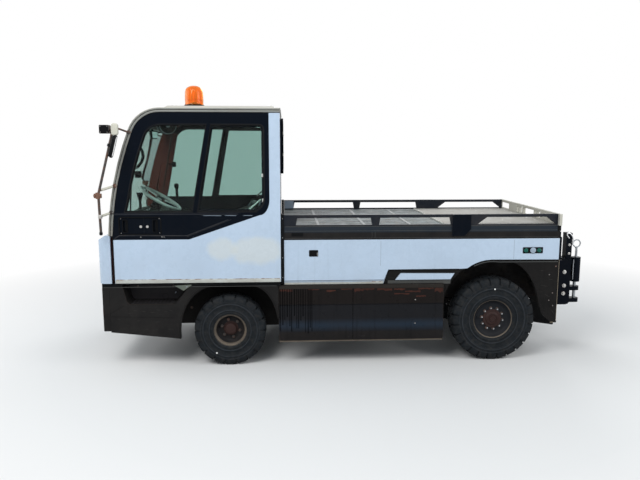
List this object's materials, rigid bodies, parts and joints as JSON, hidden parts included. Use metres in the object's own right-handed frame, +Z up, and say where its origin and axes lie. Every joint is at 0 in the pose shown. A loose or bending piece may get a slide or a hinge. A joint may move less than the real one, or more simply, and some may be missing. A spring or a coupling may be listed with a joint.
{
  "type": "airport baggage tug",
  "caption": "Four-wheeled airport towing tractor with an enclosed two-seat cab, sliding side doors, a low-sided load platform and a rear pin tow coupling.",
  "frame": {"origin": "centre of the overall box at ground level", "axes": "+X forwards, +Y to the driver's left, +Z up"},
  "size_m": [4.7, 1.9908, 2.5389],
  "materials": {
    "black_paint": "worn semi-gloss black paint",
    "engine_iron": "painted casting",
    "axle_steel": "dirty forged steel",
    "white_paint": "worn gloss white paint",
    "lamp_glass": "clear lens",
    "brown_paint": "dark primer brown",
    "frame_paint": "gloss black paint",
    "cream_paint": "weathered cream paint",
    "glass": "lightly tinted safety glass",
    "black_plastic": "matt black",
    "orange_lens": "translucent orange lens",
    "grey_plastic": "light grey housing",
    "seat_cover": "black vinyl",
    "floor_metal": "ribbed floor sheet",
    "red_lens": "red lens",
    "chrome": "polished",
    "wheel_rim_plastic": "smooth black",
    "tyre": "dusty rubber",
    "rim_paint": "dusty beige paint"
  },
  "bodies": {
    "chassis": {"frame_rails": "black_paint", "cross_members": "black_paint", "outriggers": "black_paint", "engine_block": "engine_iron", "front_axle": "axle_steel", "rear_axle": "axle_steel", "leaf_springs": "axle_steel", "front_bumper": "black_paint", "skirt_sides": "black_paint", "step_wells": "black_paint", "nose_panel": "white_paint", "headlamps": "lamp_glass", "cab_floor": "black_paint", "cab_frame": "brown_paint", "rear_wall": "frame_paint", "roof": "cream_paint", "windscreen": "glass", "rear_window": "glass", "wiper": "black_plastic", "beacon": "orange_lens", "mirror_arms": "black_paint", "mirror_heads": "grey_plastic", "dashboard": "black_plastic", "seats": "seat_cover", "cab_controls": "black_plastic", "sills": "black_paint", "bed_sides": "white_paint", "arch_panels": "black_paint", "bed_channels": "frame_paint", "bed_bearers": "frame_paint", "bed_posts": "frame_paint", "bulkhead": "frame_paint", "bed_floor": "floor_metal", "bed_plate": "cream_paint", "side_boards": "frame_paint", "tailboard": "cream_paint", "rear_panel": "black_paint", "tail_lamps": "red_lens", "hitch_frame": "frame_paint"},
    "steering_wheel": {"steering_wheel": "wheel_rim_plastic"},
    "knuckle_left": {"knuckle_left": "axle_steel"},
    "knuckle_right": {"knuckle_right": "axle_steel"},
    "tie_rod": {"tie_rod": "axle_steel"},
    "wheel_front_left": {"tyre_front_left": "tyre", "rim_front_left": "rim_paint"},
    "wheel_front_right": {"tyre_front_right": "tyre", "rim_front_right": "rim_paint"},
    "wheel_rear_left": {"tyre_rear_left": "tyre", "rim_rear_left": "rim_paint"},
    "wheel_rear_right": {"tyre_rear_right": "tyre", "rim_rear_right": "rim_paint"},
    "door_left": {"door_panel_left": "white_paint", "door_frame_left": "frame_paint", "door_glass_left": "glass"},
    "door_right": {"door_panel_right": "white_paint", "door_frame_right": "frame_paint", "door_glass_right": "glass"},
    "tow_pin": {"hitch_pin": "chrome"}
  },
  "joints": [
    {"name": "steer_left", "type": "hinge", "parent": "chassis", "child": "knuckle_left", "pos_m": [1.22, 0.56, 0.322], "axis": [0, 0, 1], "range_deg": [-35, 35]},
    {"name": "steer_right", "type": "hinge", "parent": "chassis", "child": "knuckle_right", "pos_m": [1.22, -0.56, 0.322], "axis": [0, 0, 1], "range_deg": [-35, 35]},
    {"name": "tie_rod_pivot", "type": "hinge", "parent": "knuckle_left", "child": "tie_rod", "pos_m": [1.07, 0.56, 0.277], "axis": [0, 0, 1], "range_deg": [-35, 35]},
    {"name": "steering_wheel_turn", "type": "hinge", "parent": "chassis", "child": "steering_wheel", "pos_m": [1.88, 0.35, 1.48], "axis": [-0.515, 0, 0.8572], "range_deg": [-525, 525]},
    {"name": "wheel_front_left_spin", "type": "hinge", "parent": "knuckle_left", "child": "wheel_front_left", "pos_m": [1.22, 0.695, 0.322], "axis": [0, 1, 0], "continuous": true},
    {"name": "wheel_front_right_spin", "type": "hinge", "parent": "knuckle_right", "child": "wheel_front_right", "pos_m": [1.22, -0.695, 0.322], "axis": [0, 1, 0], "continuous": true},
    {"name": "wheel_rear_left_spin", "type": "hinge", "parent": "chassis", "child": "wheel_rear_left", "pos_m": [-1.192, 0.665, 0.385], "axis": [0, 1, 0], "continuous": true},
    {"name": "wheel_rear_right_spin", "type": "hinge", "parent": "chassis", "child": "wheel_rear_right", "pos_m": [-1.192, -0.665, 0.385], "axis": [0, 1, 0], "continuous": true},
    {"name": "door_left_slide", "type": "slide", "parent": "chassis", "child": "door_left", "axis": [-1, 0, 0], "range_m": [0, 0.75]},
    {"name": "door_right_slide", "type": "slide", "parent": "chassis", "child": "door_right", "axis": [-1, 0, 0], "range_m": [0, 0.75]},
    {"name": "tow_pin_lift", "type": "slide", "parent": "chassis", "child": "tow_pin", "axis": [0, 0, 1], "range_m": [0, 0.13]}
  ],
  "couplings": [
    {"joint": "steer_right", "follows": "steer_left", "ratio": 1},
    {"joint": "tie_rod_pivot", "follows": "steer_left", "ratio": -1},
    {"joint": "steering_wheel_turn", "follows": "steer_left", "ratio": 15}
  ]
}
